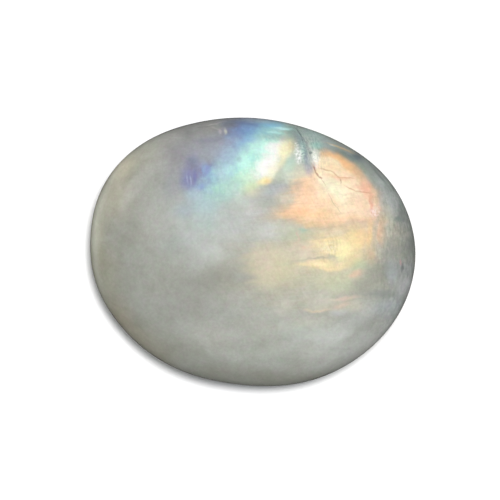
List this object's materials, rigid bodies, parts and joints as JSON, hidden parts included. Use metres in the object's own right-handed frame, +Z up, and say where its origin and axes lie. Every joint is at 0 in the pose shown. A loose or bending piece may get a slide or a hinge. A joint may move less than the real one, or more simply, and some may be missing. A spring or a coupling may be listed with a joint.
{
  "type": "polished moonstone pebble",
  "caption": "Oval tumble-polished feldspar pebble: a smooth domed crown with a short cleavage crack at one edge, a round belly and a small worn flat that it rests on.",
  "frame": {"origin": "on the floor under the middle of the stone's bounding box, which is on its small foot", "axes": "+X along the stone's length, towards the fire flash, +Y along its width, towards the blue flash, +Z up through the crown"},
  "size_m": [0.032, 0.0262, 0.015],
  "materials": {
    "moonstone": "polished, milky grey-green feldspar with a blue and a fire-coloured flash"
  },
  "bodies": {
    "root": {"moonstone": "moonstone"}
  },
  "joints": []
}
